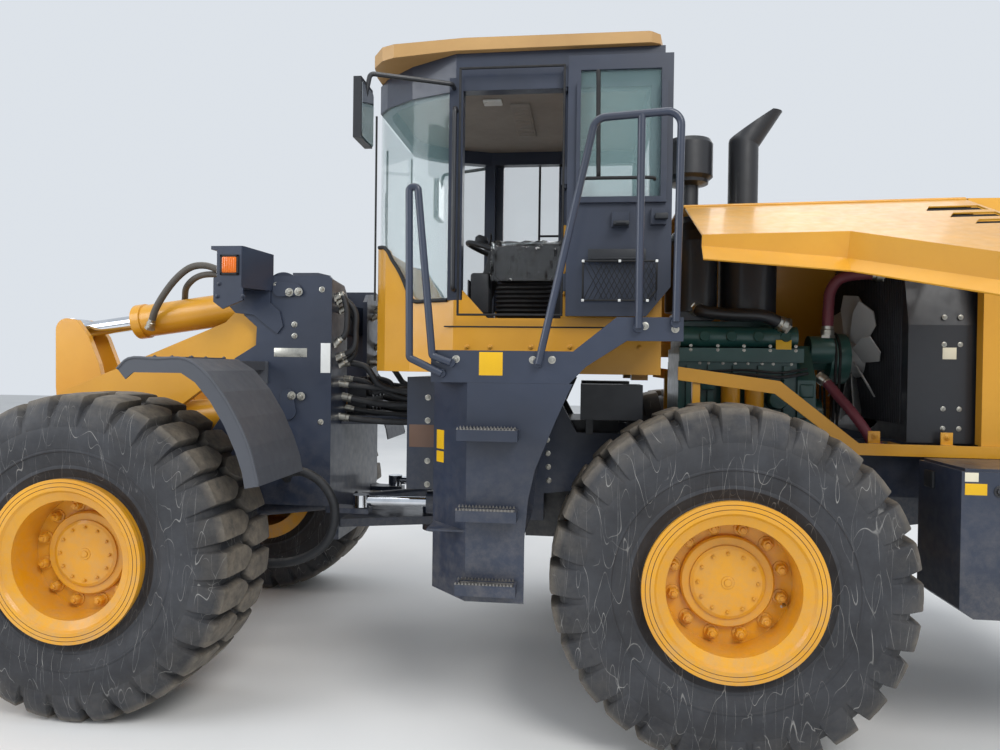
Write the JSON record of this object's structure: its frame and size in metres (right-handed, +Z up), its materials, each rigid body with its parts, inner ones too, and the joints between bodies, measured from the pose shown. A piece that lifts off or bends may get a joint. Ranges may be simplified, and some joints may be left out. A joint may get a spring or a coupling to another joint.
{
  "type": "wheel loader",
  "caption": "Articulated wheel loader with a bucket on Z-bar linkage, glazed cab with an open side door, gull-wing engine hood raised on one side, access ladders and hand rails.",
  "frame": {"origin": "centre of the bounding box at the ground plane, with the machine straight and the bucket down", "axes": "+X forwards out of the bucket, +Y to the driver's left, +Z up"},
  "size_m": [7.85, 3.125, 3.5461],
  "materials": {
    "tyre": "matt rubber with dust",
    "rim_yellow": "gloss yellow paint",
    "body_yellow": "gloss yellow paint",
    "slate": "satin slate grey paint",
    "black": "satin black paint",
    "roof": "moulded roof cap",
    "chrome": "polished",
    "steel": "worn edge",
    "glass": "clear with a slight green tint",
    "engine_green": "semi-gloss green paint",
    "fan_grey": "moulded",
    "trim": "grained lining",
    "seat": "vinyl",
    "amber": "translucent amber",
    "console": "grained"
  },
  "bodies": {
    "rear": {"rear_frame": "slate", "rear_axle": "slate", "transmission": "black", "counterweight": "slate", "tow_hitch": "slate", "side_boxes": "black", "rear_lamps": "amber", "sills": "body_yellow", "cab_shell": "body_yellow", "cab_frame": "slate", "cab_ceiling": "trim", "cab_roof": "roof", "beacon": "amber", "cab_glass": "glass", "seat_base": "console", "seat": "seat", "steering_console": "console", "platforms": "slate", "ladders": "slate", "handrails": "slate", "mirrors": "black", "hood_roof": "body_yellow", "engine": "engine_green", "air_cleaner": "black", "exhaust": "black", "radiator": "black"},
    "front": {"front_frame": "slate", "front_axle": "slate", "front_fenders": "slate", "headlamps": "slate", "lamp_lenses": "amber", "valve_block": "black"},
    "boom_arm": {"boom": "body_yellow"},
    "bell_crank_lever": {"bell_crank": "body_yellow"},
    "bucket_link": {"link": "body_yellow"},
    "bucket_set": {"bucket": "body_yellow", "bucket_teeth": "steel"},
    "lift_barrel_pair": {"lift_barrels": "body_yellow"},
    "lift_rod_pair": {"lift_rods": "chrome"},
    "tilt_barrel_body": {"tilt_barrel": "body_yellow"},
    "tilt_rod_body": {"tilt_rod": "chrome"},
    "steer_barrel_l": {"steer_barrel_left": "slate"},
    "steer_rod_l": {"steer_rod_left": "chrome"},
    "steer_barrel_r": {"steer_barrel_right": "slate"},
    "steer_rod_r": {"steer_rod_right": "chrome"},
    "fan_wheel": {"fan": "fan_grey"},
    "door_left": {"cab_door_left": "slate", "door_glass_left": "glass"},
    "door_right": {"cab_door_right": "slate", "door_glass_right": "glass"},
    "lid_left": {"hood_door_left": "body_yellow"},
    "lid_right": {"hood_door_right": "body_yellow"},
    "wheel_front_left": {"tyre_front_left": "tyre", "rim_front_left": "rim_yellow"},
    "wheel_front_right": {"tyre_front_right": "tyre", "rim_front_right": "rim_yellow"},
    "wheel_rear_left": {"tyre_rear_left": "tyre", "rim_rear_left": "rim_yellow"},
    "wheel_rear_right": {"tyre_rear_right": "tyre", "rim_rear_right": "rim_yellow"}
  },
  "joints": [
    {"name": "articulation", "type": "hinge", "parent": "rear", "child": "front", "pos_m": [-0.125, -0.05445, 1.1], "axis": [0, 0, 1], "range_deg": [-38, 38]},
    {"name": "boom_lift", "type": "hinge", "parent": "front", "child": "boom_arm", "pos_m": [0.745, -0.05445, 2.19], "axis": [0, -1, 0], "range_deg": [0, 88.5]},
    {"name": "bucket_tilt", "type": "hinge", "parent": "boom_arm", "child": "bucket_set", "pos_m": [2.675, -0.05445, 0.3], "axis": [0, 1, 0], "range_deg": [-42, 132]},
    {"name": "crank_turn", "type": "hinge", "parent": "boom_arm", "child": "bell_crank_lever", "pos_m": [2.255, -0.05445, 1.34], "axis": [0, 1, 0], "range_deg": [-29.36, 9.86]},
    {"name": "link_turn", "type": "hinge", "parent": "bell_crank_lever", "child": "bucket_link", "pos_m": [2.299, -0.05445, 0.495], "axis": [0, 1, 0], "range_deg": [-37.91, 112.92]},
    {"name": "tilt_barrel_turn", "type": "hinge", "parent": "boom_arm", "child": "tilt_barrel_body", "pos_m": [0.745, -0.05445, 2.19], "axis": [0, 1, 0], "range_deg": [-0.5, 1.5]},
    {"name": "tilt_rod_slide", "type": "slide", "parent": "tilt_barrel_body", "child": "tilt_rod_body", "axis": [0.9902, 0, -0.1397], "range_m": [-0.31418, 0.10547]},
    {"name": "lift_barrel_turn", "type": "hinge", "parent": "front", "child": "lift_barrel_pair", "pos_m": [0.69, -0.05445, 1.48], "axis": [0, -1, 0], "range_deg": [-1.38, 70.14]},
    {"name": "lift_rod_slide", "type": "slide", "parent": "lift_barrel_pair", "child": "lift_rod_pair", "axis": [0.997, 0, -0.078], "range_m": [-0.01666, 0.84967]},
    {"name": "steer_barrel_turn_left", "type": "hinge", "parent": "rear", "child": "steer_barrel_l", "pos_m": [-0.745, 0.27555, 0.955], "axis": [0, 0, 1], "range_deg": [-16.28, 16.28]},
    {"name": "steer_rod_slide_left", "type": "slide", "parent": "steer_barrel_l", "child": "steer_rod_l", "axis": [0.9977, 0.0685, 0], "range_m": [-0.25321, 0.25321]},
    {"name": "steer_barrel_turn_right", "type": "hinge", "parent": "rear", "child": "steer_barrel_r", "pos_m": [-0.745, -0.38445, 0.955], "axis": [0, 0, 1], "range_deg": [-16.28, 16.28]},
    {"name": "steer_rod_slide_right", "type": "slide", "parent": "steer_barrel_r", "child": "steer_rod_r", "axis": [0.9977, -0.0685, 0], "range_m": [-0.25321, 0.25321]},
    {"name": "wheel_front_left_spin", "type": "hinge", "parent": "front", "child": "wheel_front_left", "pos_m": [1.425, 1.04055, 0.8], "axis": [0, 1, 0], "continuous": true},
    {"name": "wheel_front_right_spin", "type": "hinge", "parent": "front", "child": "wheel_front_right", "pos_m": [1.425, -1.14945, 0.8], "axis": [0, 1, 0], "continuous": true},
    {"name": "wheel_rear_left_spin", "type": "hinge", "parent": "rear", "child": "wheel_rear_left", "pos_m": [-1.675, 1.04055, 0.8], "axis": [0, 1, 0], "continuous": true},
    {"name": "wheel_rear_right_spin", "type": "hinge", "parent": "rear", "child": "wheel_rear_right", "pos_m": [-1.675, -1.14945, 0.8], "axis": [0, 1, 0], "continuous": true},
    {"name": "fan_spin", "type": "hinge", "parent": "rear", "child": "fan_wheel", "pos_m": [-2.605, -0.05445, 1.83], "axis": [1, 0, 0], "continuous": true},
    {"name": "door_left_swing", "type": "hinge", "parent": "rear", "child": "door_left", "pos_m": [-0.905, 0.73455, 2.6], "axis": [0, 0, 1], "range_deg": [-180, 0]},
    {"name": "door_right_swing", "type": "hinge", "parent": "rear", "child": "door_right", "pos_m": [-0.905, -0.84345, 2.6], "axis": [0, 0, -1], "range_deg": [0, 170]},
    {"name": "hood_left_lift", "type": "hinge", "parent": "rear", "child": "lid_left", "pos_m": [-1.549, 0.44555, 2.642], "axis": [0.9999, 0, -0.0173], "range_deg": [-52, 0]},
    {"name": "hood_right_lift", "type": "hinge", "parent": "rear", "child": "lid_right", "pos_m": [-1.549, -0.55445, 2.642], "axis": [-0.9999, 0, 0.0173], "range_deg": [0, 52]}
  ],
  "couplings": [
    {"joint": "crank_turn", "follows": "bucket_tilt", "ratio": -0.2167},
    {"joint": "link_turn", "follows": "bucket_tilt", "ratio": 0.8335},
    {"joint": "tilt_barrel_turn", "follows": "bucket_tilt", "ratio": 0.0111},
    {"joint": "tilt_rod_slide", "follows": "bucket_tilt", "m_per_rad": -0.13287},
    {"joint": "lift_barrel_turn", "follows": "boom_lift", "ratio": 0.777},
    {"joint": "lift_rod_slide", "follows": "boom_lift", "m_per_rad": 0.5393},
    {"joint": "steer_barrel_turn_left", "follows": "articulation", "ratio": 0.4119},
    {"joint": "steer_rod_slide_left", "follows": "articulation", "m_per_rad": -0.3671},
    {"joint": "steer_barrel_turn_right", "follows": "articulation", "ratio": 0.4119},
    {"joint": "steer_rod_slide_right", "follows": "articulation", "m_per_rad": 0.3671}
  ]
}
